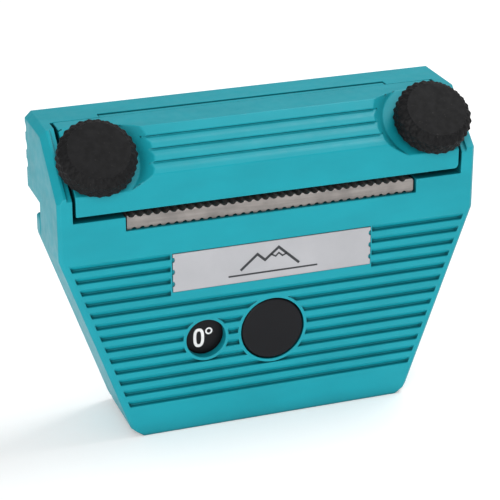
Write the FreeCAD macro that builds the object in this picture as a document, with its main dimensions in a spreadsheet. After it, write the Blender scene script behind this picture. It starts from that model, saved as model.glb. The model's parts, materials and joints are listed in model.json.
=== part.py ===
"""Side-edge file guide for skis and snowboards: a moulded housing that holds a short flat file.

A hinged flap clamps the file, two slanted thumb screws pull the flap down, and a dial
behind the front wall tilts the rear running plate to set the edge angle.
Frame: +X along the tool, +Y towards the ski, +Z up.  The origin is the middle of the
underside of the housing, halfway between the front face and the running face.
"""

import FreeCAD, Part
import math
import os
import re

import Sketcher

Vector = FreeCAD.Vector
Rotation = FreeCAD.Rotation

X_AXIS = Vector(1, 0, 0)
Y_AXIS = Vector(0, 1, 0)
Z_AXIS = Vector(0, 0, 1)
UPRIGHT = Rotation()
ALONG_X = Rotation(Y_AXIS, 90)
ALONG_Y = Rotation(X_AXIS, -90)

# Driving dimensions, in millimetres and degrees.
DRIVING = {
    # how far a cutting tool runs out of the solid that it cuts
    "past": 1.0,
    "well_past": 5.0,
    # housing outline, seen from the front
    "width": 120.0,
    "height_top": 87.0,
    "foot_width": 75.8,
    "foot_cut_x": 3.5,
    "foot_cut_z": 2.5,
    "shoulder_z": 55.5,
    # housing section, seen from the end
    "depth": 25.0,
    "back_y": 7.5,
    "arm_y": 21.2,
    "arm_under_z": 65.2,
    "left_bevel": 1.8,
    "right_bevel": 0.6,
    "front_bevel": 0.9,
    "slope_tilt": 40.0,
    "cheek_z": 73.4,
    "cheek_step": 0.7,
    "cheek_rim": 2.7,
    "front_wall": 2.8,
    # bay of the clamp flap, and the file channel
    "crack": 0.85,
    "ledge_z": 66.2,
    "ledge_back_y": -2.2,
    "bay_back_z": 78.9,
    "window_half": 41.9,
    "window_low": 62.2,
    "window_high": 67.2,
    # clamp flap and its flexure
    "flap_length": 110.0,
    "flap_low_z": 67.8,
    "flap_corner": 1.3,
    "flap_front_z": 77.3,
    "flap_under_y": -3.2,
    "pad_half": 39.0,
    "pad_front_y": -9.5,
    "pad_back_y": -4.4,
    "pad_low_z": 67.3,
    "flap_heel_y": 8.0,
    "flap_heel_z": 79.6,
    "flap_tail_z": 82.0,
    "flap_end_y": 9.5,
    "slit": 0.2,
    "hinge_y": 11.0,
    "web_length": 84.0,
    "web_end_y": 12.5,
    "web_low_z": 84.0,
    "web_skin": 0.6,
    "web_bead": 1.6,
    "web_bead_z": 86.7,
    "flute_count": 3.0,
    "flute_depth": 0.75,
    "flute_width": 2.1,
    "flute_pitch": 4.0,
    "flute_first": 3.1,
    "recess_lift": 0.8,
    "recess_radius": 12.6,
    "recess_flare": 1.18,
    "recess_high": 8.0,
    "recess_shift": 1.2,
    "stud_slot_radius": 3.05,
    # thumb screws, along their own axis from the recess floor
    "knob_x": 48.0,
    "knob_y": -5.47,
    "washer_gap": 0.28,
    "washer_radius": 5.0,
    "washer_thick": 1.0,
    "washer_play": 0.2,
    "hub_radius": 5.5,
    "hub_height": 0.9,
    "knob_radius": 10.8,
    "knob_height": 6.7,
    "knob_shoulder": 2.2,
    "knob_face_radius": 8.4,
    "knurl_count": 44.0,
    "knurl_radius": 0.42,
    "knurl_proud": 0.15,
    "stud_radius": 2.5,
    "stud_fit": 0.05,
    "stud_low": 16.6,
    "stud_in_knob": 5.0,
    "insert_radius": 3.5,
    "insert_top": 11.2,
    "insert_length": 6.2,
    "insert_room": 0.6,
    # file
    "file_half": 41.4,
    "channel_x": 0.4,
    "file_front_y": -11.5,
    "file_back_y": 19.6,
    "file_low_z": 62.25,
    "file_thick": 3.9,
    "tooth_pitch": 2.37,
    "tooth_depth": 0.6,
    "low_tooth_depth": 0.51,
    "tooth_start": 0.3,
    "tooth_back": 0.5,
    "tooth_front": 0.8,
    # front ribs
    "rib_count": 13.0,
    "rib_pitch": 3.56,
    "rib_top_z": 52.1,
    "rib_depth": 1.2,
    "rib_height": 2.1,
    "rib_ledge": 0.3,
    "rib_inset": 2.2,
    "ring_land": 0.9,
    "label_land": 1.3,
    "label_end_land": 0.5,
    # label
    "label_half": 28.9,
    "label_low_z": 42.5,
    "label_high_z": 53.8,
    "label_thick": 0.4,
    "label_sink": 0.25,
    # angle dial
    "dial_z": 27.0,
    "dial_radius": 25.4,
    "dial_play": 0.3,
    "dial_front_gap": 0.2,
    "dial_thick": 2.8,
    "hub_hole_radius": 9.3,
    "dial_hub_radius": 9.05,
    "dial_hub_sink": 0.1,
    "dial_hub_round": 0.4,
    "sight_x": 19.5,
    "sight_radius": 5.7,
    "cam_outer": 18.0,
    "cam_inner": 12.0,
    "cam_arm": 15.0,
    "cam_mid_y": -2.0,
    "cam_half_rise": 0.924,
    "dial_turn": 120.0,
    "retainer_thick": 2.0,
    "retainer_inner": 18.6,
    "ear_reach": 27.8,
    "ear_radius": 3.2,
    "small_screw_radius": 1.1,
    "small_screw_play": 0.15,
    "small_head_radius": 2.1,
    "small_head_height": 1.3,
    "small_screw_length": 4.6,
    # running plate
    "plate_gap": 0.3,
    "plate_low_z": 0.5,
    "plate_high_z": 60.8,
    "plate_edge": 0.6,
    "pivot_y": 10.2,
    "pivot_z": 57.4,
    "pivot_radius": 1.25,
    "pivot_length": 24.0,
    "pivot_fit": 0.05,
    "lug_x": 36.0,
    "lug_width": 8.0,
    "lug_radius": 2.2,
    "lug_play": 0.35,
    "post_x": 29.0,
    "post_z": 12.0,
    "post_radius": 4.5,
    "post_low_y": 1.5,
    "post_floor": 2.0,
    "post_bore": 3.6,
    "post_hole": 2.3,
    "post_room": 0.8,
    "post_room_y": 0.5,
    "shoulder_radius": 1.75,
    "shoulder_head": 3.0,
    "shoulder_head_y": 10.0,
    "shoulder_head_high": 1.8,
    "shoulder_thread": 1.5,
    "shoulder_thread_length": 6.0,
    "spring_radius": 2.65,
    "spring_wire": 0.6,
    "spring_turns": 5.0,
    "follower_radius": 2.5,
    "follower_gap": 0.2,
    "follower_nose": 1.2,
    # cored-out spaces that the running plate covers
    "core_inner_x": 34.0,
    "core_low_z": 20.0,
    "core_high_z": 51.0,
    "core_low_x": 43.5,
    "core_high_x": 53.5,
    "ear_hole_deep": 3.0,
    "thread_hole_deep": 6.5,
    "grip_radius": 1.3,
    "grip_proud": 0.1,
    "grip_top_z": 82.4,
    "grip_pitch": 5.15,
    "follower_seat": 3.0,
    "hex_radius": 1.5,
    "hex_depth": 1.2,
    "spring_gap": 0.15,
}

# Values that follow from the driving ones.
DERIVED = {
    "half_width": "width / 2",
    "foot_half": "foot_width / 2",
    "foot_side": "foot_width / 2 + foot_cut_x",
    "front_y": "-depth / 2",
    "face_y": "depth / 2",
    "outer_y": "-depth / 2 - well_past",
    "above_z": "height_top + well_past",
    "slope_sin": "sin(slope_tilt * 1deg)",
    "slope_cos": "cos(slope_tilt * 1deg)",
    "slope_tan": "tan(slope_tilt * 1deg)",
    "floor_z": "cheek_z - cheek_step / slope_cos",
    "floor_out_z": "floor_z - well_past * slope_tan",
    "cheek_out_z": "cheek_z - well_past * slope_tan",
    "flap_back_y": "-depth / 2 + (height_top - flap_front_z) / slope_tan",
    "flap_half": "flap_length / 2",
    "web_half": "web_length / 2",
    "bay_length": "flap_length + 2 * crack",
    "bay_back_y": "flap_end_y + slit",
    "knob_z": "floor_z + (knob_y - front_y) * slope_tan",
    "washer_low": "recess_lift + washer_gap",
    "knob_low": "washer_low + washer_thick",
    "inner_length": "width - 2 * cheek_rim",
    "wall_y": "-depth / 2 + front_wall",
    "cavity_radius": "dial_radius + dial_play",
    "dial_front_y": "wall_y + dial_front_gap",
    "dial_back_y": "dial_front_y + dial_thick",
    "retainer_y": "dial_back_y + dial_front_gap",
    "plate_front_y": "back_y + plate_gap",
    "hub_front_y": "front_y + dial_hub_sink",
    "file_start_x": "channel_x - file_half",
    "cam_top_y": "cam_mid_y + 2 * cam_half_rise",
    "follower_y": "cam_mid_y - cam_half_rise * sin(dial_turn / 2 * 1deg) + follower_gap",
}


def make_sheet(doc):
    """Spreadsheet with one alias per row: driving numbers first, then the derived formulas."""
    sheet = doc.addObject("Spreadsheet::Sheet", "sheet")
    row = 1
    for alias, number in DRIVING.items():
        sheet.set(f"A{row}", alias)
        sheet.set(f"B{row}", str(number))
        sheet.setAlias(f"B{row}", alias)
        row += 1
    for alias, formula in DERIVED.items():
        sheet.set(f"A{row}", alias)
        sheet.set(f"B{row}", "=" + formula)
        sheet.setAlias(f"B{row}", alias)
        row += 1
    doc.recompute()
    return sheet


def on_sheet(formula):
    """The formula with every alias pointed at the spreadsheet."""
    return re.sub(r"[a-z]\w*", r"sheet.\g<0>", formula)


def bind(item, **formulas):
    for name, formula in formulas.items():
        item.setExpression(name, on_sheet(formula))


def place(item, x="0", y="0", z="0", turn=UPRIGHT):
    """Turn an object, then bind its position to the spreadsheet."""
    item.Placement = FreeCAD.Placement(Vector(), turn)
    for axis, formula in zip("xyz", (x, y, z)):
        item.setExpression("Placement.Base." + axis, on_sheet(formula))
    return item


def origin_plane(body, role):
    return next(item for item in body.Origin.OriginFeatures if item.Role == role)


def sketch_outline(body, role, outline):
    """Closed polygon on one of the body's origin planes, each corner bound to the sheet."""
    sketch = body.newObject("Sketcher::SketchObject", body.Name + "_sketch")
    sketch.AttachmentSupport = [(origin_plane(body, role), "")]
    sketch.MapMode = "FlatFace"
    count = len(outline)
    turn = 2 * math.pi / count
    start = [Vector(math.cos(turn * i), math.sin(turn * i), 0) for i in range(count)]
    for i in range(count):
        sketch.addGeometry(Part.LineSegment(start[i], start[(i + 1) % count]))
    for i in range(count):
        sketch.addConstraint(Sketcher.Constraint("Coincident", i, 2, (i + 1) % count, 1))
    for i, corner in enumerate(outline):
        for kind, formula in zip(("DistanceX", "DistanceY"), corner):
            index = sketch.addConstraint(Sketcher.Constraint(kind, -1, 1, i, 1, 1.0))
            sketch.setExpression(f"Constraints[{index}]", on_sheet(formula))
    return sketch


def add_body(name):
    body = doc.addObject("PartDesign::Body", name)
    doc.recompute()
    return body


def add_extrusion(body, kind, role, outline, length, start=None):
    """Pad or Pocket of an outline: across the plane, or from 'start' towards the +axis side."""
    sketch = sketch_outline(body, role, outline)
    feature = body.newObject("PartDesign::" + kind, body.Name + "_" + kind.lower())
    feature.Profile = sketch
    bind(feature, Length=length)
    if start is None:
        feature.SideType = "Symmetric"
    else:
        along_normal = role == "YZ_Plane"
        sign = "" if along_normal else "-"
        sketch.setExpression("AttachmentOffset.Base.z", on_sheet(f"{sign}({start})"))
        feature.Reversed = along_normal if kind == "Pocket" else not along_normal
    doc.recompute()
    return feature


def add_prism(name, role, outline, length, start=None):
    body = add_body(name)
    add_extrusion(body, "Pad", role, outline, length, start)
    return body


def add_turned(name, outline):
    """Solid of revolution about the body's own Z axis, from an outline of (radius, height)."""
    body = add_body(name)
    sketch = sketch_outline(body, "XZ_Plane", outline)
    turning = body.newObject("PartDesign::Revolution", name + "_turning")
    turning.Profile = sketch
    turning.ReferenceAxis = (sketch, ["V_Axis"])
    turning.Angle = 360
    doc.recompute()
    return body


def add_box(name, low, size):
    item = doc.addObject("Part::Box", name)
    bind(item, Length=size[0], Width=size[1], Height=size[2])
    return place(item, *low)


def add_cylinder(name, radius, length, at, turn=UPRIGHT):
    item = doc.addObject("Part::Cylinder", name)
    bind(item, Radius=radius, Height=length)
    return place(item, *at, turn=turn)


def fuse(name, parts):
    item = doc.addObject("Part::MultiFuse", name)
    item.Shapes = parts
    return item


def cut(name, base, tools):
    item = doc.addObject("Part::Cut", name)
    item.Base = base
    item.Tool = tools[0] if len(tools) == 1 else fuse(name + "_tools", tools)
    return item


def common(name, first, second):
    item = doc.addObject("Part::Common", name)
    item.Base = first
    item.Tool = second
    return item


def group(name, items):
    """Identical pieces kept as separate solids of one sub-part."""
    item = doc.addObject("Part::Compound", name)
    item.Links = items
    return item


def dress_edges(body, kind, size, test):
    """Fillet or Chamfer on the body's edges that pass a test of their end points."""
    doc.recompute()
    base = body.Tip
    names = []
    for number, edge in enumerate(base.Shape.Edges, start=1):
        ends = [vertex.Point for vertex in edge.Vertexes]
        if ends and all(test(point) for point in ends):
            names.append(f"Edge{number}")
    feature = body.newObject("PartDesign::" + kind, body.Name + "_" + kind.lower())
    feature.Base = (base, names)
    if kind == "Fillet":
        bind(feature, Radius=size)
    else:
        bind(feature, Size=size)
    doc.recompute()
    return feature


def finish_subpart(name, item):
    """Give a finished sub-part its own label, which also names its file."""
    item.Label = name
    subparts.append(item)
    return item


def mirrored(points):
    """An outline's right half, from the bottom up, followed by its mirror image."""
    left = [("-(" + x + ")", z) for x, z in reversed(points)]
    return points + left


doc = FreeCAD.newDocument("edge_file_guide")
sheet = make_sheet(doc)
subparts = []
ON_SCREW = Rotation(X_AXIS, float(sheet.slope_tilt))
SIDES = {"left": "-1", "right": "1"}


def screw_spot(side, height):
    """Point on a thumb screw's axis, at a height above the floor of its recess."""
    return (
        f"{side} * knob_x",
        f"knob_y - slope_sin * ({height})",
        f"knob_z + slope_cos * ({height})",
    )


def radial_spot(angle, reach, y):
    """Point at a reach from the dial's axis, at an angle from +X towards +Z."""
    across = math.cos(math.radians(angle))
    upward = math.sin(math.radians(angle))
    return (f"{across:.6f} * ({reach})", y, f"dial_z + {upward:.6f} * ({reach})")


EAR_ANGLES = (0, 90, 180)


def slope_outline(front_z, low_z):
    """Region above a slope that meets the front face at front_z, in the end-on plane."""
    return [
        ("outer_y", low_z),
        ("front_y + (above_z - " + front_z + ") / slope_tan", "above_z"),
        ("outer_y", "above_z"),
    ]


def make_housing_core():
    """Outer body: trapezoid front part, rear arm, and the slope over both cheeks."""
    body = add_body("housing_core")
    outline = mirrored([
        ("foot_half", "0"),
        ("foot_side", "foot_cut_z"),
        ("half_width", "shoulder_z"),
        ("half_width", "height_top"),
    ])
    add_extrusion(body, "Pad", "XZ_Plane", outline, "back_y - front_y", "front_y")
    front_y = float(sheet.front_y)
    foot_half = float(sheet.foot_half)
    dress_edges(body, "Chamfer", "front_bevel",
                lambda point: point.y < front_y + 0.01 and abs(point.x) > foot_half + 0.01)
    arm = [
        ("back_y - 2 * past", "arm_under_z"),
        ("arm_y", "arm_under_z"),
        ("arm_y", "height_top"),
        ("back_y - 2 * past", "height_top"),
    ]
    add_extrusion(body, "Pad", "YZ_Plane", arm, "width")
    slope = slope_outline("cheek_z", "cheek_out_z")
    add_extrusion(body, "Pocket", "YZ_Plane", slope, "width + 4 * past")
    half_width = float(sheet.half_width)
    straight_z = float(sheet.shoulder_z) + float(sheet.past)
    arm_under_z = float(sheet.arm_under_z)
    back_y = float(sheet.back_y)

    for size, end_x in (("left_bevel", -half_width), ("right_bevel", half_width)):

        def on_end_edge(point):
            behind = point.y > back_y - 0.01 and point.z < arm_under_z + 0.01
            return abs(point.x - end_x) < 0.01 and point.z > straight_z and not behind

        dress_edges(body, "Chamfer", size, on_end_edge)
    return body


def make_rib_grooves():
    """Grooves across the front: each slopes inwards going down and ends in a ledge."""
    bars = []
    for number in range(int(sheet.rib_count)):
        top = f"rib_top_z - {number} * rib_pitch"
        outline = [
            ("outer_y", top),
            ("front_y", top),
            ("front_y + rib_depth", top + " + rib_ledge"),
            ("front_y", top + " + rib_height"),
            ("outer_y", top + " + rib_height"),
        ]
        bars.append(add_prism(f"rib_groove_{number}", "YZ_Plane", outline, "width"))
    inset = mirrored([
        ("foot_side - rib_inset", "foot_cut_z"),
        ("half_width - rib_inset", "shoulder_z"),
    ])
    field = add_prism("rib_field", "XZ_Plane", inset, "depth", "outer_y")
    label = add_box(
        "label_land",
        ("-(label_half + label_end_land)", "outer_y - past", "label_low_z - label_land"),
        ("2 * (label_half + label_end_land)", "depth",
         "label_high_z - label_low_z + 2 * label_land"),
    )
    rings = [
        add_cylinder("hub_land", "hub_hole_radius + ring_land", "depth",
                     ("0", "outer_y - past", "dial_z"), ALONG_Y),
        add_cylinder("sight_land", "sight_radius + ring_land", "depth",
                     ("-sight_x", "outer_y - past", "dial_z"), ALONG_Y),
    ]
    grooves = common("rib_lines", fuse("rib_bars", bars), field)
    return cut("rib_grooves", grooves, [label] + rings)


def make_housing():
    core = make_housing_core()
    floor = add_prism("recess_floor", "YZ_Plane", slope_outline("floor_z", "floor_out_z"),
                      "inner_length")
    bay = add_prism("flap_bay", "YZ_Plane", [
        ("outer_y", "ledge_z"),
        ("ledge_back_y", "ledge_z"),
        ("bay_back_y", "bay_back_z"),
        ("bay_back_y", "above_z"),
        ("outer_y", "above_z"),
    ], "bay_length")
    web_room = add_box("web_room", ("-web_half", "flap_end_y", "web_low_z"),
                       ("web_length", "web_end_y - flap_end_y", "height_top"))
    channel = add_box("file_channel", ("channel_x - window_half", "outer_y", "window_low"),
                      ("2 * window_half", "3 * depth", "window_high - window_low"))
    label = add_box("label_recess", ("-label_half", "outer_y", "label_low_z"),
                    ("2 * label_half", "front_y + label_sink - outer_y",
                     "label_high_z - label_low_z"))
    tools = [floor, bay, web_room, channel, label, make_rib_grooves()]
    tools.append(add_cylinder("dial_cavity", "cavity_radius", "depth",
                              ("0", "wall_y", "dial_z"), ALONG_Y))
    tools.append(add_cylinder("hub_hole", "hub_hole_radius", "depth",
                              ("0", "outer_y", "dial_z"), ALONG_Y))
    tools.append(add_cylinder("sight_hole", "sight_radius", "wall_y - outer_y + past",
                              ("-sight_x", "outer_y", "dial_z"), ALONG_Y))
    for angle in EAR_ANGLES:
        tools.append(add_cylinder(f"ear_room_{angle}", "ear_radius + dial_play", "depth",
                                  radial_spot(angle, "ear_reach", "retainer_y"), ALONG_Y))
        tools.append(add_cylinder(f"ear_hole_{angle}", "small_screw_radius + pivot_fit", "depth",
                                  radial_spot(angle, "ear_reach", "retainer_y - ear_hole_deep"),
                                  ALONG_Y))
    for side, sign in SIDES.items():
        tools.append(add_cylinder(side + "_post_room", "post_radius + post_room", "depth",
                                  (sign + " * post_x", "post_room_y", "post_z"), ALONG_Y))
        tools.append(add_cylinder(side + "_thread_hole", "shoulder_thread + pivot_fit", "depth",
                                  (sign + " * post_x", "post_room_y - thread_hole_deep",
                                   "post_z"), ALONG_Y))
        tools.append(add_prism(side + "_core_space", "XZ_Plane", [
            (sign + " * core_inner_x", "core_low_z"),
            (sign + " * core_low_x", "core_low_z"),
            (sign + " * core_high_x", "core_high_z"),
            (sign + " * core_inner_x", "core_high_z"),
        ], "depth", "wall_y"))
        tools.append(add_cylinder(side + "_insert_hole", "insert_radius + pivot_fit",
                                  "insert_length + 2 * past",
                                  screw_spot(sign, "-insert_top - insert_length - insert_room"),
                                  ON_SCREW))
    for number in range(3):
        tools.append(add_cylinder(f"grip_groove_{number}", "grip_radius", "width + 4 * past",
                                  ("-half_width - 2 * past", "arm_y + grip_proud",
                                   f"grip_top_z - {number} * grip_pitch"), ALONG_X))
    shell = cut("housing_shell", core, tools)
    lugs = []
    for side, sign in SIDES.items():
        place_x = sign + " * lug_x - lug_width / 2"
        block = add_box(side + "_lug_block", (place_x, "back_y - past", "pivot_z - lug_radius"),
                        ("lug_width", "pivot_y - back_y + past", "2 * lug_radius"))
        nose = add_cylinder(side + "_lug_nose", "lug_radius", "lug_width",
                            (place_x, "pivot_y", "pivot_z"), ALONG_X)
        hole = add_cylinder(side + "_lug_hole", "pivot_radius + pivot_fit", "lug_width + 2 * past",
                            (place_x + " - past", "pivot_y", "pivot_z"), ALONG_X)
        lugs.append(cut(side + "_lug", fuse(side + "_lug_solid", [block, nose]), [hole]))
    return finish_subpart("housing", fuse("housing_whole", [shell] + lugs))


def add_recess(side, sign):
    """Flared recess round a thumb screw, its middle a little up the slope from the screw."""
    recess = doc.addObject("Part::Cone", side + "_recess")
    bind(recess, Radius1="recess_radius", Radius2="recess_radius + recess_flare * recess_high",
         Height="recess_high")
    at_x, at_y, at_z = screw_spot(sign, "recess_lift")
    return place(recess, at_x, at_y + " + slope_cos * recess_shift",
                 at_z + " + slope_sin * recess_shift", turn=ON_SCREW)


def make_flap():
    """Clamp flap: flutes and a recess for each thumb screw above, a pad below for the file."""
    body = add_prism("flap_core", "YZ_Plane", [
        ("front_y", "flap_low_z"),
        ("front_y", "flap_front_z"),
        ("flap_back_y", "height_top"),
        ("flap_end_y", "height_top"),
        ("flap_end_y", "flap_tail_z"),
        ("flap_heel_y", "flap_heel_z"),
        ("flap_under_y", "flap_low_z"),
    ], "flap_length")
    half = float(sheet.flap_half)
    low_z = float(sheet.flap_low_z)
    dress_edges(body, "Fillet", "flap_corner",
                lambda point: point.x > half - 0.01 and point.z < low_z + 0.01)
    pad = add_box("flap_pad", ("-pad_half", "pad_front_y", "pad_low_z"),
                  ("2 * pad_half", "pad_back_y - pad_front_y", "flap_low_z - pad_low_z + past"))
    down_slope = Rotation(X_AXIS, 180 + float(sheet.slope_tilt))
    tools = []
    for number in range(int(sheet.flute_count)):
        start = f"flute_first + {number} * flute_pitch"
        flute = add_prism(f"flute_{number}", "YZ_Plane", [
            (start, "-1"),
            (start, "flute_depth"),
            (start + " + flute_width", "0"),
            (start + " + flute_width", "-1"),
        ], "flap_length + 2 * past")
        tools.append(place(flute, "0", "flap_back_y", "height_top", down_slope))
    for side, sign in SIDES.items():
        tools.append(add_recess(side, sign))
        tools.append(add_cylinder(side + "_stud_slot", "stud_slot_radius", "depth",
                                  screw_spot(sign, "-depth / 2"), ON_SCREW))
    return finish_subpart("clamp_flap", cut("flap_whole", fuse("flap_solid", [body, pad]), tools))


def make_flexure_web():
    """Thin skin with a bead on it, in the slot that lets the flap bend."""
    skin = add_box("web_skin_strip", ("-web_half + slit", "flap_end_y + slit", "web_low_z"),
                   ("web_length - 2 * slit", "web_end_y - flap_end_y - slit", "web_skin"))
    bead = add_box("web_bead_strip",
                   ("-web_half + slit", "hinge_y - web_bead / 2", "web_low_z"),
                   ("web_length - 2 * slit", "web_bead", "web_bead_z - web_low_z"))
    return finish_subpart("flexure_web", fuse("web_whole", [skin, bead]))


def make_file():
    """Flat file: both wide faces carry a row of teeth that run across its width."""
    body = add_prism("file_core", "XZ_Plane", [
        ("file_start_x", "file_low_z"),
        ("file_start_x + 2 * file_half", "file_low_z"),
        ("file_start_x + 2 * file_half", "file_low_z + file_thick"),
        ("file_start_x", "file_low_z + file_thick"),
    ], "file_back_y - file_front_y", "file_front_y")
    pitch = float(sheet.tooth_pitch)
    count = int(2 * float(sheet.file_half) / pitch)
    root_x = "file_start_x + tooth_start + tooth_back"
    end_x = root_x + " + tooth_front"
    for face, base, root, outside in (
        ("low", "file_low_z", " + low_tooth_depth", " - past"),
        ("high", "file_low_z + file_thick", " - tooth_depth", " + past"),
    ):
        gullet = [
            ("file_start_x + tooth_start", base + outside),
            ("file_start_x + tooth_start", base),
            (root_x, base + root),
            (end_x, base),
            (end_x, base + outside),
        ]
        pocket = add_extrusion(body, "Pocket", "XZ_Plane", gullet,
                               "file_back_y - file_front_y + 2 * past", "file_front_y - past")
        sketch = pocket.Profile[0]
        row = body.newObject("PartDesign::LinearPattern", f"file_teeth_{face}")
        row.Originals = [pocket]
        row.Direction = (sketch, ["H_Axis"])
        row.Occurrences = count
        bind(row, Length=f"{count - 1} * tooth_pitch")
        body.Tip = row
        doc.recompute()
    return finish_subpart("file", body)


def make_thumb_screw(side, sign):
    """Knurled knob, the steel stud moulded into it, its washer and its threaded insert."""
    knob = add_turned(side + "_knob_turned", [
        ("0", "0"),
        ("hub_radius", "0"),
        ("hub_radius", "hub_height"),
        ("knob_radius", "hub_height"),
        ("knob_radius", "hub_height + knob_height - knob_shoulder"),
        ("knob_face_radius", "hub_height + knob_height"),
        ("0", "hub_height + knob_height"),
    ])
    stud_hole = add_cylinder(side + "_knob_bore", "stud_radius", "stud_in_knob",
                             ("0", "0", "0"))
    rim = []
    for number in range(int(sheet.knurl_count)):
        angle = 2 * math.pi * number / int(sheet.knurl_count)
        at = (f"{math.cos(angle):.6f} * (knob_radius + knurl_proud)",
              f"{math.sin(angle):.6f} * (knob_radius + knurl_proud)", "hub_height - past")
        rim.append(add_cylinder(f"{side}_knurl_{number}", "knurl_radius", "knob_height + 2 * past", at))
    shape = cut(side + "_knob_whole", knob, [stud_hole] + rim)
    place(shape, *screw_spot(sign, "knob_low"), turn=ON_SCREW)
    finish_subpart(side + "_knob", shape)
    stud = add_cylinder(side + "_stud_rod", "stud_radius", "stud_low + knob_low + stud_in_knob",
                        screw_spot(sign, "-stud_low"), ON_SCREW)
    finish_subpart(side + "_stud", stud)
    for name, outer, inner, height, low in (
        ("washer", "washer_radius", "stud_radius + washer_play", "washer_thick", "washer_low"),
        ("insert", "insert_radius", "stud_radius + stud_fit", "insert_length",
         "-insert_top - insert_length"),
    ):
        disc = add_cylinder(f"{side}_{name}_disc", outer, height,
                            screw_spot(sign, low), ON_SCREW)
        hole = add_cylinder(f"{side}_{name}_hole", inner, height + " + 2 * past",
                            screw_spot(sign, low + " - past"), ON_SCREW)
        finish_subpart(f"{side}_{name}", cut(f"{side}_{name}_ring", disc, [hole]))


def make_dial():
    """Dial: hub in the front hole, number disc behind the wall, and a slanted cam ring."""
    disc = add_turned("dial_disc", [
        ("0", "0"),
        ("dial_hub_radius - dial_hub_round", "0"),
        ("dial_hub_radius", "dial_hub_round"),
        ("dial_hub_radius", "dial_front_y - hub_front_y"),
        ("dial_radius", "dial_front_y - hub_front_y"),
        ("dial_radius", "dial_back_y - hub_front_y"),
        ("cam_outer", "dial_back_y - hub_front_y"),
        ("cam_outer", "cam_top_y - hub_front_y"),
        ("cam_inner", "cam_top_y - hub_front_y"),
        ("cam_inner", "dial_back_y - hub_front_y"),
        ("0", "dial_back_y - hub_front_y"),
    ])
    place(disc, "0", "hub_front_y", "dial_z", ALONG_Y)
    grade = float(sheet.cam_half_rise) / float(sheet.cam_arm)
    middle = math.radians(90 + float(sheet.dial_turn) / 2)
    uphill = Vector(math.cos(middle), 0, math.sin(middle))
    normal = Vector(-grade * uphill.x, 1, -grade * uphill.z)
    slant = add_cylinder("cam_slant", "2 * cam_outer", "depth", ("0", "cam_mid_y", "dial_z"),
                         Rotation(Z_AXIS, normal))
    return finish_subpart("angle_dial", cut("dial_whole", disc, [slant]))


def make_retainer():
    """Ring with three screwed ears that keeps the dial in its cavity."""
    ring = add_cylinder("retainer_ring", "dial_radius", "retainer_thick",
                        ("0", "retainer_y", "dial_z"), ALONG_Y)
    ears = [ring]
    holes = [add_cylinder("retainer_opening", "retainer_inner", "retainer_thick + 2 * past",
                          ("0", "retainer_y - past", "dial_z"), ALONG_Y)]
    screws = []
    for angle in EAR_ANGLES:
        spot = radial_spot(angle, "ear_reach", "retainer_y")
        ears.append(add_cylinder(f"retainer_ear_{angle}", "ear_radius", "retainer_thick",
                                 spot, ALONG_Y))
        holes.append(add_cylinder(f"retainer_hole_{angle}", "small_screw_radius + small_screw_play",
                                  "retainer_thick + 2 * past",
                                  radial_spot(angle, "ear_reach", "retainer_y - past"), ALONG_Y))
        shank = add_cylinder(f"ear_screw_shank_{angle}", "small_screw_radius",
                             "small_screw_length",
                             radial_spot(angle, "ear_reach",
                                         "retainer_y + retainer_thick - small_screw_length"),
                             ALONG_Y)
        head = add_cylinder(f"ear_screw_head_{angle}", "small_head_radius",
                            "small_head_height",
                            radial_spot(angle, "ear_reach", "retainer_y + retainer_thick"),
                            ALONG_Y)
        screws.append(fuse(f"ear_screw_{angle}", [shank, head]))
    finish_subpart("dial_retainer", cut("retainer_whole", fuse("retainer_solid", ears), holes))
    finish_subpart("retainer_screws", group("retainer_screw_set", screws))


def make_guide_plate():
    """Running plate that lies on the ski: pivots at its top edge, pushed out by the cam."""
    body = add_prism("plate_core", "XZ_Plane", mirrored([
        ("foot_half", "plate_low_z"),
        ("foot_side", "foot_cut_z"),
        ("half_width", "shoulder_z"),
        ("half_width", "plate_high_z"),
    ]), "face_y - plate_front_y", "plate_front_y")
    dress_edges(body, "Chamfer", "plate_edge", lambda point: True)
    posts = [body]
    tools = []
    for side, sign in SIDES.items():
        at_x = sign + " * post_x"
        posts.append(add_cylinder(side + "_post", "post_radius", "face_y - post_low_y - past",
                                  (at_x, "post_low_y", "post_z"), ALONG_Y))
        tools.append(add_cylinder(side + "_post_bore", "post_bore", "depth",
                                  (at_x, "post_low_y + post_floor", "post_z"), ALONG_Y))
        tools.append(add_cylinder(side + "_post_hole", "post_hole", "depth",
                                  (at_x, "post_low_y - past", "post_z"), ALONG_Y))
        notch_x = sign + " * lug_x - lug_width / 2 - lug_play"
        tools.append(add_box(side + "_lug_notch",
                             (notch_x, "back_y - past", "pivot_z - lug_radius - lug_play"),
                             ("lug_width + 2 * lug_play", "depth", "depth")))
        tools.append(add_cylinder(side + "_pivot_bore", "pivot_radius + pivot_fit",
                                  "pivot_length + past",
                                  (sign + " * lug_x - (pivot_length + past) / 2", "pivot_y",
                                   "pivot_z"), ALONG_X))
    tools.append(add_cylinder("follower_socket", "follower_radius", "follower_seat",
                              ("cam_arm", "plate_front_y", "dial_z"), ALONG_Y))
    return finish_subpart("guide_plate", cut("plate_whole", fuse("plate_solid", posts), tools))


def make_follower():
    """Round-nosed steel pin, pressed into the running plate, that rides on the cam."""
    pin = add_turned("follower_turned", [
        ("0", "0"),
        ("follower_radius - follower_nose", "0"),
        ("follower_radius", "follower_nose"),
        ("follower_radius", "plate_front_y + follower_seat - follower_y"),
        ("0", "plate_front_y + follower_seat - follower_y"),
    ])
    place(pin, "cam_arm", "follower_y", "dial_z", ALONG_Y)
    return finish_subpart("cam_follower", pin)


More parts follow.
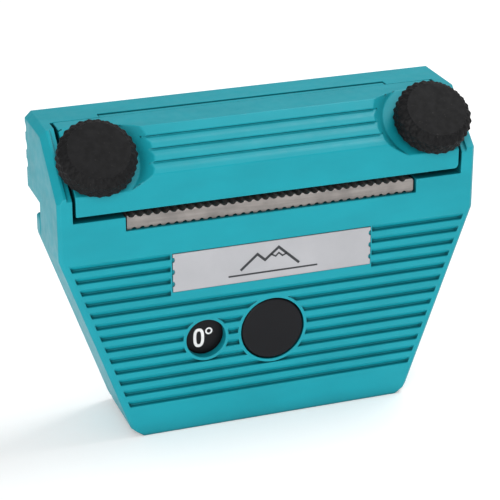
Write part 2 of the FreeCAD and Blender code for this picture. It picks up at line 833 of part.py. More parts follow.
def make_guide_fasteners():
    """Hinge pins of the running plate, its two shoulder screws and their springs."""
    pins = []
    screws = []
    springs = []
    for side, sign in SIDES.items():
        pins.append(add_cylinder(side + "_pivot_pin", "pivot_radius", "pivot_length",
                                 (sign + " * lug_x - pivot_length / 2", "pivot_y", "pivot_z"),
                                 ALONG_X))
        at_x = sign + " * post_x"
        thread = add_cylinder(side + "_shoulder_thread", "shoulder_thread",
                              "shoulder_thread_length",
                              (at_x, "post_room_y - shoulder_thread_length", "post_z"), ALONG_Y)
        shank = add_cylinder(side + "_shoulder_shank", "shoulder_radius",
                             "shoulder_head_y - post_room_y",
                             (at_x, "post_room_y", "post_z"), ALONG_Y)
        head = add_cylinder(side + "_shoulder_head", "shoulder_head", "shoulder_head_high",
                            (at_x, "shoulder_head_y", "post_z"), ALONG_Y)
        solid = fuse(side + "_shoulder_solid", [thread, shank, head])
        socket = doc.addObject("Part::Prism", side + "_hex_socket")
        socket.Polygon = 6
        bind(socket, Circumradius="hex_radius", Height="hex_depth + past")
        place(socket, at_x, "shoulder_head_y + shoulder_head_high - hex_depth", "post_z",
              ALONG_Y)
        screws.append(cut(side + "_shoulder_screw", solid, [socket]))
        springs.append(make_spring(side, at_x))
    finish_subpart("guide_pivot_pins", group("pivot_pin_pair", pins))
    finish_subpart("guide_screws", group("guide_screw_pair", screws))
    finish_subpart("guide_springs", group("guide_spring_pair", springs))


def make_spring(side, at_x):
    """Compression spring between a shoulder screw's head and the floor of its post."""
    room = float(sheet.shoulder_head_y) - float(sheet.post_low_y) - float(sheet.post_floor)
    wire = float(sheet.spring_wire)
    height = room - wire - 2 * float(sheet.spring_gap)
    helix = Part.makeHelix(height / float(sheet.spring_turns), height,
                           float(sheet.spring_radius))
    start = helix.Edges[0].firstVertex().Point
    section = Part.Wire(Part.makeCircle(wire / 2, start, Y_AXIS))
    item = doc.addObject("Part::Feature", side + "_spring_coil")
    item.Shape = Part.Wire(helix.Edges).makePipeShell([section], True, True)
    return place(item, at_x, "post_low_y + post_floor + spring_gap + spring_wire / 2",
                 "post_z", ALONG_Y)


def make_label():
    """Thin name plate in its shallow recess on the front."""
    plate = add_box("label_sheet", ("-label_half + slit / 2", "front_y + label_sink - label_thick",
                                    "label_low_z + slit / 2"),
                    ("2 * label_half - slit", "label_thick", "label_high_z - label_low_z - slit"))
    return finish_subpart("label_plate", plate)


make_housing()
make_flap()
make_flexure_web()
make_file()
for side, sign in SIDES.items():
    make_thumb_screw(side, sign)
make_dial()
make_retainer()
make_guide_plate()
make_follower()
make_guide_fasteners()
make_label()
doc.recompute()

failed = [item.Name for item in doc.Objects if "Invalid" in item.State or "Error" in item.State]
empty = [item.Name for item in doc.Objects
         if item.TypeId.startswith("Part::") and not item.Shape.Solids]
if failed or empty:
    raise RuntimeError("objects that failed or came out empty: " + ", ".join(failed + empty))
for item in subparts:
    if item.Shape.isNull() or not item.Shape.isValid():
        raise RuntimeError("bad shape: " + item.Label)
os.makedirs("parts", exist_ok=True)
for item in subparts:
    item.Shape.exportStep("parts/" + item.Label + ".step")
    box = item.Shape.BoundBox
    print(f"{item.Label}: {len(item.Shape.Solids)} solid(s), {item.Shape.Volume:.1f} mm3, "
          f"{box.XLength:.1f} x {box.YLength:.1f} x {box.ZLength:.1f}")
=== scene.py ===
"""Looks of the side-edge file guide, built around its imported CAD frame.

Everything is in metres in the CAD frame: +X along the tool, +Y towards the ski, +Z up.
"""

import json
import math

import bmesh
import bpy
from mathutils import Matrix, Vector


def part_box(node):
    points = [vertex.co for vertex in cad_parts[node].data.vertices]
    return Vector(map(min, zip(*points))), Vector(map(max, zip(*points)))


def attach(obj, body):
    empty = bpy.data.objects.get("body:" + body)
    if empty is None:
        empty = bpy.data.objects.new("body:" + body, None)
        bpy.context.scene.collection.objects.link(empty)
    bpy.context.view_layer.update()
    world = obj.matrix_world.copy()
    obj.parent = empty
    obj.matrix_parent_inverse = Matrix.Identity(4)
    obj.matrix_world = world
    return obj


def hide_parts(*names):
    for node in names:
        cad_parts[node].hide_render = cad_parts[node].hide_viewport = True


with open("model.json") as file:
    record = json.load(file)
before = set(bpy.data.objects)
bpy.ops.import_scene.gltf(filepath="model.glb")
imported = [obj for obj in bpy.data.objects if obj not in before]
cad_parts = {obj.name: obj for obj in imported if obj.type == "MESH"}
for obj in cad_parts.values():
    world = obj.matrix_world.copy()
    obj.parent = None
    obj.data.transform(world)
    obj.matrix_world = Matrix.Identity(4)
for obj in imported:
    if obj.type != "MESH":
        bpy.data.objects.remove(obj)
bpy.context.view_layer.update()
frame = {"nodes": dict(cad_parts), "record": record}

MM = 0.001
NODES = frame["nodes"]
SIDES = ("left", "right")

# The dial, as the CAD model has it, and the print on its face. Numerals are drawn in
# millimetres about their own middle, then moved left and down to leave room for the ring.
DIAL_AXIS = Vector((0, 0, 27 * MM))
DIAL_FACE_Y = -9.5 * MM
NUMBER_REACH = 19.5 * MM
NUMBER_STEP = math.radians(40)
NUMBER_COUNT = 4
DIGIT_LEFT = 1.25
DIGIT_DROP = 0.85
DIGIT_STROKE = 0.85 * MM
DEGREE_AT = (1.7 * MM, 0.85 * MM)
DEGREE_RADIUS = 0.82 * MM
DEGREE_STROKE = 0.43 * MM
PRINT_PROUD = 0.05 * MM
PRINT_SUNK = 0.03 * MM

# The ribs beside the label, as the CAD model has them, the bites they leave in its ends,
# and the print on it.
RIB_TOP = 52.1 * MM
RIB_PITCH = 3.56 * MM
BITE_COUNT = 3
BITE_DROP = 0.1 * MM
BITE_REACH = (0.6 * MM, 0.8 * MM)
INK_PROUD = 0.03 * MM
INK_SUNK = 0.02 * MM

# The thumb knob, from its underside along its own axis.
KNOB_TILT = math.radians(40)
KNOB_RADIUS = 10.8 * MM
KNOB_HUB_RADIUS = 5.5 * MM
KNOB_HUB = 0.9 * MM
KNOB_HEIGHT = 7.6 * MM
KNOB_SHOULDER = 2.2 * MM
KNOB_FACE_RADIUS = 8.4 * MM
KNOB_FOOT = 0.4 * MM
KNOB_UNDERCUT = 0.7 * MM
KNOB_LIP = 0.3 * MM
KNOB_LIP_RISE = 0.1 * MM
FACE_DIP = 0.02 * MM
FACE_EDGE = 0.5 * MM
KNURLS = 26
KNURL_DEPTH = 0.5 * MM
KNURL_SHARPNESS = 1.3
POINTS_PER_KNURL = 12
SIDE_ROWS = 22
SHOULDER_ROWS = 14
STUD_BELOW_KNOB = 18.68 * MM
STUD_IN_KNOB = 5.0 * MM

# The file: the gullets between its teeth, its rounded corners and its broken edges.
TOOTH_PITCH = 2.37 * MM
TOOTH_START = 0.3 * MM
TOP_GULLET_DEPTH = 0.6 * MM
TOP_GULLET_WIDTH = 1.95 * MM
LOW_GULLET_DEPTH = 0.5 * MM
LOW_GULLET_WIDTH = 1.35 * MM
LOW_GULLET_OFFSET = 0.9 * MM
GULLET_LEAN = 0.15 * MM
GULLET_FULLNESS = 0.65
GULLET_STEPS = 10
FILE_CORNER = 0.75 * MM
FILE_EDGE = 0.06 * MM

# Moulded plastic: how wide its edges are paled (partly wear, partly painted highlight) and
# rounded, and how far painted shade reaches into grooves and hollows.
EDGE_WEAR_AND_HIGHLIGHT_WIDTH = 0.45 * MM
EDGE_ROUNDING = 0.35 * MM
GROOVE_SHADE_REACH = 2.6 * MM
HOLLOW_SHADE_REACH = 9 * MM
HOLLOW_SHADE = 0.45
PAINTED_SHADE_SHARE = 0.12

# The camera's view of the tool, and its lens.
VIEW_AZIMUTH = math.radians(19.51)
VIEW_ELEVATION = math.radians(23.4)
VIEW_DISTANCE = 0.5415
VIEW_TARGET = Vector((-2.3 * MM, 0, 46.1 * MM))
LENS_LENGTH = 139.2
SENSOR_WIDTH = 36
FLOOR_REACH = 6.0


# ---------------------------------------------------------------- meshes

def add_mesh(name, vertices, faces, smooth=False):
    """Object from vertices and faces, with its normals made consistent."""
    mesh = bpy.data.meshes.new(name)
    mesh.from_pydata([tuple(v) for v in vertices], [], faces)
    work = bmesh.new()
    work.from_mesh(mesh)
    bmesh.ops.recalc_face_normals(work, faces=work.faces)
    work.to_mesh(mesh)
    work.free()
    for polygon in mesh.polygons:
        polygon.use_smooth = smooth
    piece = bpy.data.objects.new(name, mesh)
    bpy.context.scene.collection.objects.link(piece)
    return piece


def add_slab(name, outline, front, back, smooth=False):
    """Closed plate: an (x, z) outline carried from one depth to another along Y."""
    count = len(outline)
    vertices = [(x, front, z) for x, z in outline] + [(x, back, z) for x, z in outline]
    faces = [tuple(range(count)), tuple(reversed(range(count, 2 * count)))]
    for i in range(count):
        j = (i + 1) % count
        faces.append((i, count + i, count + j, j))
    return add_mesh(name, vertices, faces, smooth)


def smooth_shading():
    """Geometry nodes that drop stored normals and sharp marks, which leaves all faces smooth."""
    group = bpy.data.node_groups.new("smooth_shading", "GeometryNodeTree")
    for way in ("INPUT", "OUTPUT"):
        group.interface.new_socket("Geometry", in_out=way, socket_type="NodeSocketGeometry")
    geometry = group.nodes.new("NodeGroupInput").outputs[0]
    for attribute in ("custom_normal", "sharp_edge", "sharp_face"):
        remove = group.nodes.new("GeometryNodeRemoveAttribute")
        remove.inputs["Name"].default_value = attribute
        group.links.new(geometry, remove.inputs["Geometry"])
        geometry = remove.outputs["Geometry"]
    group.links.new(geometry, group.nodes.new("NodeGroupOutput").inputs[0])
    return group


def soften(piece, width, shading, segments=2, angle=32):
    """Round a solid's sharp edges by modifiers alone, so its own mesh stays as it is."""
    piece.modifiers.new("smooth", "NODES").node_group = shading
    weld = piece.modifiers.new("weld", "WELD")
    weld.merge_threshold = 0.002 * MM
    flat = piece.modifiers.new("flat_faces", "DECIMATE")
    flat.decimate_type = "DISSOLVE"
    flat.angle_limit = math.radians(0.5)
    bevel = piece.modifiers.new("edge_round", "BEVEL")
    bevel.width = width
    bevel.segments = segments
    bevel.limit_method = "ANGLE"
    bevel.angle_limit = math.radians(angle)
    bevel.use_clamp_overlap = False
    bevel.loop_slide = False
    bevel.harden_normals = True


def ribbon(points, width, closed):
    """Both edges of a flat stroke of constant width that follows the (x, z) points."""
    count = len(points)
    left, right = [], []
    for i, point in enumerate(points):
        before = points[(i - 1) % count] if closed or i else point
        after = points[(i + 1) % count] if closed or i < count - 1 else point
        ahead = (after - point).normalized() if after != point else (point - before).normalized()
        behind = (point - before).normalized() if before != point else ahead
        along = (ahead + behind).normalized()
        normal = Vector((-along.y, along.x))
        reach = width / 2 / max(0.5, normal.dot(Vector((-ahead.y, ahead.x))))
        left.append(point + normal * reach)
        right.append(point - normal * reach)
    return left, right


def add_stroke(name, points, width, front, back, place, closed=False):
    """Raised print: a flat stroke, carried from one depth to another."""
    left, right = ribbon([Vector(p) for p in points], width, closed)
    count = len(points)
    vertices = []
    for depth in (front, back):
        for edge in (left, right):
            vertices += [place @ Vector((p.x, depth, p.y)) for p in edge]
    faces = []
    links = count if closed else count - 1
    for i in range(links):
        j = (i + 1) % count
        faces.append((i, j, count + j, count + i))
        faces.append((2 * count + i, 3 * count + i, 3 * count + j, 2 * count + j))
        faces.append((i, 2 * count + i, 2 * count + j, j))
        faces.append((count + i, count + j, 3 * count + j, 3 * count + i))
    if not closed:
        for i in (0, count - 1):
            faces.append((i, count + i, 3 * count + i, 2 * count + i))
    return add_mesh(name, vertices, faces)


def arc(centre, radii, start, end, steps):
    """Points of an elliptic arc between two angles in degrees."""
    points = []
    for i in range(steps + 1):
        angle = math.radians(start + (end - start) * i / steps)
        points.append((centre[0] + radii[0] * math.cos(angle),
                       centre[1] + radii[1] * math.sin(angle)))
    return points


# ---------------------------------------------------------------- materials

class Paint:
    """A node material under construction: makes nodes and links them in one call."""

    def __init__(self, name):
        self.material = bpy.data.materials.new(name)
        self.material.use_nodes = True
        self.tree = self.material.node_tree
        self.tree.nodes.clear()
        self.shader = self.node("BsdfPrincipled")
        output = self.node("OutputMaterial")
        self.tree.links.new(self.shader.outputs[0], output.inputs["Surface"])
        self.space = self.node("TexCoord").outputs["Object"]

    def node(self, kind, **inputs):
        node = self.tree.nodes.new("ShaderNode" + kind)
        self.feed(node, **inputs)
        return node

    def feed(self, node, **inputs):
        for name, value in inputs.items():
            socket = node.inputs[name.replace("_", " ")]
            if isinstance(value, bpy.types.NodeSocket):
                self.tree.links.new(value, socket)
            else:
                socket.default_value = value

    def noise(self, scale, detail=2.0, stretch=(1, 1, 1)):
        """Noise from about 0.3 to 0.7, with its scale in cells per metre."""
        mapping = self.node("Mapping", Vector=self.space, Scale=stretch)
        cloud = self.node("TexNoise", Vector=mapping.outputs[0], Scale=scale, Detail=detail)
        return cloud.outputs["Fac"]

    def remap(self, value, low, high, to_low, to_high):
        node = self.node("MapRange")
        node.clamp = True
        for name, number in (("From Min", low), ("From Max", high),
                             ("To Min", to_low), ("To Max", to_high)):
            node.inputs[name].default_value = number
        self.tree.links.new(value, node.inputs["Value"])
        return node.outputs["Result"]

    def times(self, first, second):
        node = self.node("Math")
        node.operation = "MULTIPLY"
        for socket, value in zip(node.inputs, (first, second)):
            if isinstance(value, bpy.types.NodeSocket):
                self.tree.links.new(value, socket)
            else:
                socket.default_value = value
        return node.outputs[0]

    def blend(self, factor, low, high):
        """Colour that goes from low to high with the factor."""
        node = self.node("MixRGB")
        self.tree.links.new(factor, node.inputs["Fac"])
        for name, value in (("Color1", low), ("Color2", high)):
            if isinstance(value, bpy.types.NodeSocket):
                self.tree.links.new(value, node.inputs[name])
            else:
                node.inputs[name].default_value = (*value, 1)
        return node.outputs["Color"]

    def edges(self, radius):
        """Mask that is high along convex and concave edges, from a rounded normal."""
        rounded = self.node("Bevel", Radius=radius)
        plain = self.node("NewGeometry")
        dot = self.node("VectorMath")
        dot.operation = "DOT_PRODUCT"
        self.tree.links.new(rounded.outputs[0], dot.inputs[0])
        self.tree.links.new(plain.outputs["Normal"], dot.inputs[1])
        return self.remap(dot.outputs["Value"], 0.995, 0.86, 0, 1)

    def crevice(self, distance):
        """Mask that is high deep inside grooves and corners."""
        cover = self.node("AmbientOcclusion", Distance=distance)
        return self.remap(cover.outputs["AO"], 0.75, 0.25, 0, 1)

    def bump(self, height, strength, distance, rounding=0.0):
        """Fine relief, over edges that look rounded to a radius where one is given."""
        bump = self.node("Bump", Height=height, Strength=strength, Distance=distance)
        if rounding:
            self.feed(bump, Normal=self.node("Bevel", Radius=rounding).outputs[0])
        self.tree.links.new(bump.outputs[0], self.shader.inputs["Normal"])

    def finish(self, colour, roughness, **constants):
        self.feed(self.shader, Base_Color=colour, Roughness=roughness, **constants)
        return self.material


def scaled(colour, factor):
    return tuple(min(1.0, part * factor) for part in colour)


def moulded_plastic(name, colour, roughness, edge_wear_and_highlight, shine=0.22, grain=0.12, shade=0.85):
    """Injection-moulded plastic: faint flow marks, fine texture, paler edges that are partly
    wear and partly painted highlight, and painted shade in grooves and hollows.
    """
    paint = Paint(name)
    flow = paint.noise(45, 3, (1, 2.5, 2.5))
    speck = paint.noise(1600, 2)
    body = paint.blend(paint.remap(flow, 0.35, 0.65, 0, 1), scaled(colour, 0.95),
                       scaled(colour, 1.05))
    patches = paint.remap(paint.noise(260, 3), 0.4, 0.65, 0.1, 0.45)
    # Paler edges, partly wear and partly painted highlight along the edges.
    body = paint.blend(paint.times(paint.edges(EDGE_WEAR_AND_HIGHLIGHT_WIDTH), patches), body, edge_wear_and_highlight)
    # Painted shade: the colour darkens deep in grooves and hollows, where shade falls.
    deep = scaled(colour, PAINTED_SHADE_SHARE)
    body = paint.blend(paint.times(paint.crevice(GROOVE_SHADE_REACH), shade), body, deep)
    body = paint.blend(paint.times(paint.crevice(HOLLOW_SHADE_REACH), HOLLOW_SHADE), body, deep)
    paint.bump(speck, grain, 0.02 * MM, EDGE_ROUNDING)
    gloss = paint.remap(paint.noise(320, 3), 0.3, 0.7, roughness - 0.05, roughness + 0.06)
    return paint.finish(body, gloss, IOR=1.49, Specular_IOR_Level=shine)


def knurled_plastic(name, colour):
    """Matt black knob plastic with dust caught on its points."""
    paint = Paint(name)
    mottle = paint.blend(paint.remap(paint.noise(500, 3), 0.35, 0.65, 0, 1),
                         scaled(colour, 0.8), scaled(colour, 1.25))
    dust = paint.remap(paint.noise(1500, 1), 0.7, 0.78, 0, 0.2)
    body = paint.blend(dust, mottle, (0.09, 0.085, 0.08))
    rubbed = paint.times(paint.edges(0.25 * MM), 0.12)
    body = paint.blend(rubbed, body, (0.14, 0.14, 0.145))
    paint.bump(paint.noise(2600, 3), 0.25, 0.04 * MM)
    gloss = paint.remap(paint.noise(700, 2), 0.3, 0.7, 0.5, 0.66)
    return paint.finish(body, gloss, IOR=1.47, Specular_IOR_Level=0.12)


def ground_steel(name, colour, roughness, stretch=(1, 1, 1), stain=None):
    """Metal with fine drawn or ground lines, cloudy tarnish and brighter edges."""
    paint = Paint(name)
    lines = paint.noise(900, 4, stretch)
    body = paint.blend(paint.remap(lines, 0.3, 0.7, 0, 1), scaled(colour, 0.86),
                       scaled(colour, 1.12))
    if stain:
        cloud = paint.remap(paint.noise(95, 4), 0.48, 0.68, 0, 0.6)
        body = paint.blend(cloud, body, stain)
    body = paint.blend(paint.times(paint.edges(0.2 * MM), 0.5), body, scaled(colour, 1.7))
    paint.bump(lines, 0.2, 0.015 * MM)
    gloss = paint.remap(paint.noise(420, 3), 0.3, 0.7, roughness - 0.07, roughness + 0.1)
    return paint.finish(body, gloss, Metallic=0.85)


def foil(name, colour):
    """Satin silver label stock with a fine grain and a few handling marks."""
    paint = Paint(name)
    grain = paint.noise(2400, 2)
    clouds = paint.remap(paint.noise(70, 3), 0.4, 0.65, 0, 1)
    body = paint.blend(clouds, scaled(colour, 0.96), scaled(colour, 1.04))
    paint.bump(grain, 0.1, 0.01 * MM)
    gloss = paint.remap(paint.noise(240, 3), 0.3, 0.7, 0.36, 0.5)
    return paint.finish(body, gloss, Metallic=0.35, IOR=1.5)


def print_ink(name, colour, roughness=0.5):
    """Printed ink: slightly uneven cover."""
    paint = Paint(name)
    body = paint.blend(paint.remap(paint.noise(1800, 2), 0.3, 0.7, 0, 1), scaled(colour, 0.9),
                       scaled(colour, 1.06))
    paint.bump(paint.noise(3000, 2), 0.1, 0.01 * MM)
    gloss = paint.remap(paint.noise(500, 2), 0.3, 0.7, roughness - 0.06, roughness + 0.06)
    return paint.finish(body, gloss, IOR=1.48)


def paint_all():
    teal = (0.0045, 0.284, 0.346)
    pale_teal = (0.07, 0.43, 0.50)
    return {
        "teal_plastic": moulded_plastic("teal_abs", teal, 0.42, pale_teal),
        "black_plastic": knurled_plastic("knob_black", (0.008, 0.008, 0.0085)),
        "dial_plastic": moulded_plastic("dial_black", (0.008, 0.008, 0.0095), 0.42,
                                        (0.04, 0.04, 0.044), 0.14, 0.08),
        "retainer_plastic": moulded_plastic("retainer_black", (0.02, 0.02, 0.022), 0.5,
                                            (0.06, 0.06, 0.065)),
        "file_steel": ground_steel("file_steel_ground", (0.30, 0.275, 0.26), 0.46,
                                   (0.12, 1.0, 1.6), (0.16, 0.15, 0.145)),
        "steel": ground_steel("zinc_steel", (0.52, 0.52, 0.54), 0.32, (1, 1, 0.2)),
        "spring_steel": ground_steel("spring_wire", (0.42, 0.42, 0.45), 0.3),
        "brass": ground_steel("turned_brass", (0.72, 0.52, 0.22), 0.3, (0.3, 1, 1)),
        "label_foil": foil("silver_foil", (0.41, 0.41, 0.43)),
        "white_ink": print_ink("white_ink", (0.80, 0.80, 0.80)),
        "dark_ink": print_ink("dark_ink", (0.022, 0.024, 0.028), 0.45),
    }


# ---------------------------------------------------------------- pieces

def finish_cad_nodes(paints):
    """Give every carried-over CAD node its material and a small edge radius."""
    radii = {"housing": 0.2, "clamp_flap": 0.28, "guide_plate": 0.2, "flexure_web": 0.08,
             "angle_dial": 0.15, "dial_retainer": 0.15}
    slots = {row["node"]: row["material_slot"] for row in frame["record"]["subparts"]}
    shading = smooth_shading()
    for name, node in NODES.items():
        for slot in node.material_slots:
            slot.material = paints[slots[name]]
        if name != "guide_springs":
            soften(node, radii.get(name, 0.1) * MM, shading)


def tri_wave(turns):
    """0 at whole numbers, 1 halfway between them."""
    return 1 - abs(2 * (turns % 1.0) - 1)


def knob_profile():
    """Rows of (radius, height, share of the knurl) from the underside to the face."""
    side_low = KNOB_HUB + KNOB_FOOT
    side_top = KNOB_HEIGHT - KNOB_SHOULDER
    rows = [(0.0, 0.0, 0.0), (KNOB_HUB_RADIUS, 0.0, 0.0), (KNOB_HUB_RADIUS, KNOB_HUB, 0.0),
            (KNOB_RADIUS - KNOB_UNDERCUT, KNOB_HUB, 0.0),
            (KNOB_RADIUS - KNOB_LIP, KNOB_HUB + KNOB_LIP_RISE, 0.3)]
    for i in range(SIDE_ROWS + 1):
        rows.append((KNOB_RADIUS, side_low + (side_top - side_low) * i / SIDE_ROWS, 1.0))
    for i in range(1, SHOULDER_ROWS + 1):
        share = i / SHOULDER_ROWS
        rise = 0.8 * share + 0.2 * math.sin(share * math.pi / 2)
        inward = 0.75 * share + 0.25 * (1 - math.cos(share * math.pi / 2))
        radius = KNOB_RADIUS + (KNOB_FACE_RADIUS - KNOB_RADIUS) * inward
        fade = 1.0 if share < 0.8 else (1 - share) / 0.2
        rows.append((radius, side_top + KNOB_SHOULDER * rise, fade))
    for share in (0.25, 0.6, 1.0):
        dip = FACE_DIP * (1 - share)
        rows.append((KNOB_FACE_RADIUS - share * FACE_EDGE, KNOB_HEIGHT - dip, 0.0))
    rows.append((0.0, KNOB_HEIGHT, 0.0))
    return rows


def knob_mesh():
    """Turned knob with a diamond knurl on its side and shoulder, along its own +Z."""
    rows = knob_profile()
    around = KNURLS * POINTS_PER_KNURL
    pitch_z = 2 * math.pi * KNOB_RADIUS / KNURLS
    vertices, faces = [], []
    for radius, height, fade in rows[1:-1]:
        for i in range(around):
            turn = KNURLS * i / around
            climb = height / pitch_z
            diamond = min(tri_wave(turn + climb), tri_wave(turn - climb))
            reach = radius - fade * KNURL_DEPTH * (1 - diamond) ** KNURL_SHARPNESS
            angle = 2 * math.pi * i / around
            vertices.append((reach * math.cos(angle), reach * math.sin(angle), height))
    ring_count = len(rows) - 2
    for ring in range(ring_count - 1):
        for i in range(around):
            j = (i + 1) % around
            low, high = ring * around, (ring + 1) * around
            faces.append((low + i, low + j, high + j, high + i))
    for ring, height in ((0, rows[0][1]), (ring_count - 1, rows[-1][1])):
        centre = len(vertices)
        vertices.append((0, 0, height))
        for i in range(around):
            faces.append((centre, ring * around + i, ring * around + (i + 1) % around))
    return vertices, faces


def add_knobs(paints):
    vertices, faces = knob_mesh()
    lean = Matrix.Rotation(KNOB_TILT, 4, "X")
    for side in SIDES:
        low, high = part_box(side + "_stud")
        axis = lean @ Vector((0, 0, 1))
        middle = (low + high) / 2
        foot = middle + axis * (STUD_BELOW_KNOB - STUD_IN_KNOB) / 2
        place = Matrix.Translation(foot) @ lean
        knob = add_mesh(side + "_thumb_knob", [place @ Vector(v) for v in vertices], faces, True)
        knob.data.materials.append(paints["black_plastic"])
        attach(knob, side + "_knob_body")
        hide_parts(side + "_knob")


def add_file(paints):
    """Flat file with rounded gullets in both faces, and rounded corners at its right end."""
    low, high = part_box("file")
    count = int((high.x - low.x - 2 * FILE_CORNER) / TOOTH_PITCH)

    def gullets(base, depth, width, start):
        """Round-bottomed hollows in one face, each leaning a little towards the next."""
        points = []
        for tooth in range(count):
            for i in range(GULLET_STEPS + 1):
                share = i / GULLET_STEPS
                hollow = math.sin(math.pi * share)
                along = start + tooth * TOOTH_PITCH + width * share + GULLET_LEAN * hollow
                points.append((low.x + along, base + depth * hollow ** GULLET_FULLNESS))
        return points

    top = gullets(high.z, -TOP_GULLET_DEPTH, TOP_GULLET_WIDTH, TOOTH_START)
    bottom = gullets(low.z, LOW_GULLET_DEPTH, LOW_GULLET_WIDTH,
                     TOOTH_START + LOW_GULLET_OFFSET)
    radii = (FILE_CORNER, FILE_CORNER)
    top_end = arc((high.x - FILE_CORNER, high.z - FILE_CORNER), radii, 90, 0, 6)
    low_end = arc((high.x - FILE_CORNER, low.z + FILE_CORNER), radii, 0, -90, 6)
    outline = [(low.x, low.z), (low.x, high.z)] + top + top_end + low_end + bottom[::-1]
    blade = add_slab("flat_file", outline, low.y, high.y)
    blade.data.materials.append(paints["file_steel"])
    bevel = blade.modifiers.new("edge_round", "BEVEL")
    bevel.width = FILE_EDGE
    bevel.segments = 1
    bevel.limit_method = "ANGLE"
    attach(blade, "file_body")
    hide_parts("file")


def add_label(paints):
    """Silver label whose ends are nibbled where each rib groove meets them."""
    low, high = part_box("label_plate")
    bites = [RIB_TOP - BITE_DROP - i * RIB_PITCH for i in range(BITE_COUNT)]
    right_end = [(high.x, low.z)]
    for height in reversed(bites):
        right_end += arc((high.x, height), BITE_REACH, 270, 90, 6)
    right_end.append((high.x, high.z))
    left_end = [(-x, z) for x, z in reversed(right_end)]
    plate = add_slab("label", right_end + left_end, low.y, high.y)
    plate.data.materials.append(paints["label_foil"])
    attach(plate, "housing_body")
    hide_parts("label_plate")
    middle = Vector(((low.x + high.x) / 2, 0, (low.z + high.z) / 2))
    print_ridge(paints, Matrix.Translation(middle), low.y)


def print_ridge(paints, place, face_y):
    """Plain mountain outline with a slope line under it, in millimetres about the middle."""
    ridge = [(-9.5, -2.0), (-4.6, 2.2), (-2.4, 0.2), (1.6, 3.5), (7.6, -2.0)]
    cap = [(-0.7, 1.7), (0.7, 0.9), (1.6, 1.8), (2.7, 0.8), (4.0, 1.4)]
    slope = [(-13.0, -3.4), (13.0, -3.4)]
    lines = (("ridge", ridge, 0.75), ("cap", cap, 0.45), ("slope", slope, 0.5))
    for name, points, width in lines:
        line = [(x * MM, z * MM) for x, z in points]
        piece = add_stroke("label_" + name, line, width * MM, face_y - INK_PROUD,
                           face_y + INK_SUNK, place)
        piece.data.materials.append(paints["dark_ink"])
        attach(piece, "housing_body")


def numeral_strokes(number):
    """Centre lines of a condensed numeral about 6 mm tall, in millimetres."""
    if number == 0:
        ring = []
        for i in range(40):
            angle = 2 * math.pi * i / 40
            across, upward = math.cos(angle), math.sin(angle)
            ring.append((1.15 * math.copysign(abs(across) ** 0.75, across),
                         2.4 * math.copysign(abs(upward) ** 0.75, upward)))
        return ring, True
    if number == 1:
        return [(-1.1, 1.5), (0.3, 2.6), (0.3, -2.9)], False
    if number == 2:
        curve = arc((0, 1.2), (1.4, 1.4), 165, -35, 14)
        return curve + [(-1.5, -2.5), (1.6, -2.5)], False
    upper = arc((0, 1.35), (1.25, 1.2), 160, -80, 14)
    lower = arc((0, -1.25), (1.45, 1.3), 85, -160, 16)
    return upper + lower, False


def add_numbers(paints):
    """White 0 to 3 on the dial's face; each turns upright as it reaches the sight hole."""
    for number in range(NUMBER_COUNT):
        turn = number * NUMBER_STEP
        spin = Matrix.Rotation(-turn, 4, "Y")
        place = Matrix.Translation(DIAL_AXIS) @ spin @ Matrix.Translation((-NUMBER_REACH, 0, 0))
        points, closed = numeral_strokes(number)
        digit = [((x - DIGIT_LEFT) * MM, (z - DIGIT_DROP) * MM) for x, z in points]
        ring = arc(DEGREE_AT, (DEGREE_RADIUS, DEGREE_RADIUS), 0, 345, 23)
        lines = (("digit", digit, DIGIT_STROKE, closed), ("degree", ring, DEGREE_STROKE, True))
        for name, line, width, loop in lines:
            piece = add_stroke(f"dial_{name}_{number}", line, width,
                               DIAL_FACE_Y - PRINT_PROUD, DIAL_FACE_Y + PRINT_SUNK, place, loop)
            piece.data.materials.append(paints["white_ink"])
            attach(piece, "dial_body")


# ---------------------------------------------------------------- stage

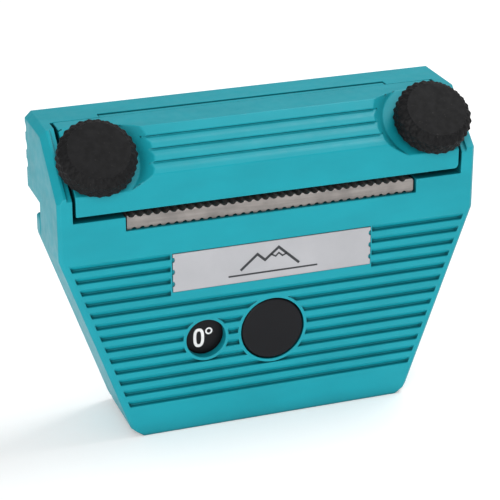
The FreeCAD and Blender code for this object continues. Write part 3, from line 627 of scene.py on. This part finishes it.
def add_stage():
    """Pale floor that runs well past the view."""
    corners = ((-1, -1), (1, -1), (1, 1), (-1, 1))
    floor = add_mesh("floor", [(x * FLOOR_REACH, y * FLOOR_REACH, 0) for x, y in corners],
                     [(0, 1, 2, 3)])
    paint = Paint("pale_floor")
    cloud = paint.remap(paint.noise(3, 2), 0.3, 0.7, 0, 1)
    colour = paint.blend(cloud, (0.90, 0.90, 0.90), (0.93, 0.93, 0.93))
    gloss = paint.remap(paint.noise(8, 2), 0.3, 0.7, 0.75, 0.85)
    floor.data.materials.append(paint.finish(colour, gloss, Emission_Color=(1, 1, 1, 1),
                                             Emission_Strength=0.2))


def add_light(name, at, target, size, power):
    """Square soft light that faces a target."""
    light = bpy.data.lights.new(name, "AREA")
    light.size = size
    light.energy = power
    item = bpy.data.objects.new(name, light)
    bpy.context.scene.collection.objects.link(item)
    item.location = at
    item.rotation_euler = (Vector(target) - Vector(at)).to_track_quat("-Z", "Y").to_euler()
    return item


def add_lighting():
    scene = bpy.context.scene
    world = bpy.data.worlds.new("studio")
    scene.world = world
    world.use_nodes = True
    sky = world.node_tree.nodes["Background"]
    sky.inputs["Color"].default_value = (1.0, 1.0, 1.0, 1)
    sky.inputs["Strength"].default_value = 0.5
    middle = (0, 0, 0.05)
    add_light("key", (0.45, 0.15, 0.85), middle, size=0.5, power=5.0)
    add_light("fill", (-0.5, -0.9, 0.5), middle, size=0.8, power=8.0)
    scene.view_settings.view_transform = "Standard"
    scene.view_settings.look = "None"


def add_camera():
    """Camera at the product view: a long lens, to the left of the front and above it."""
    across = math.cos(VIEW_ELEVATION)
    forward = Vector((math.sin(VIEW_AZIMUTH) * across, math.cos(VIEW_AZIMUTH) * across,
                      -math.sin(VIEW_ELEVATION)))
    lens = bpy.data.cameras.new("camera")
    lens.lens = LENS_LENGTH
    lens.sensor_width = SENSOR_WIDTH
    camera = bpy.data.objects.new("camera", lens)
    bpy.context.scene.collection.objects.link(camera)
    camera.location = VIEW_TARGET - forward * VIEW_DISTANCE
    camera.rotation_euler = forward.to_track_quat("-Z", "Y").to_euler()
    bpy.context.scene.camera = camera


add_camera()
add_lighting()
add_stage()
paints = paint_all()
finish_cad_nodes(paints)
add_knobs(paints)
add_file(paints)
add_label(paints)
add_numbers(paints)
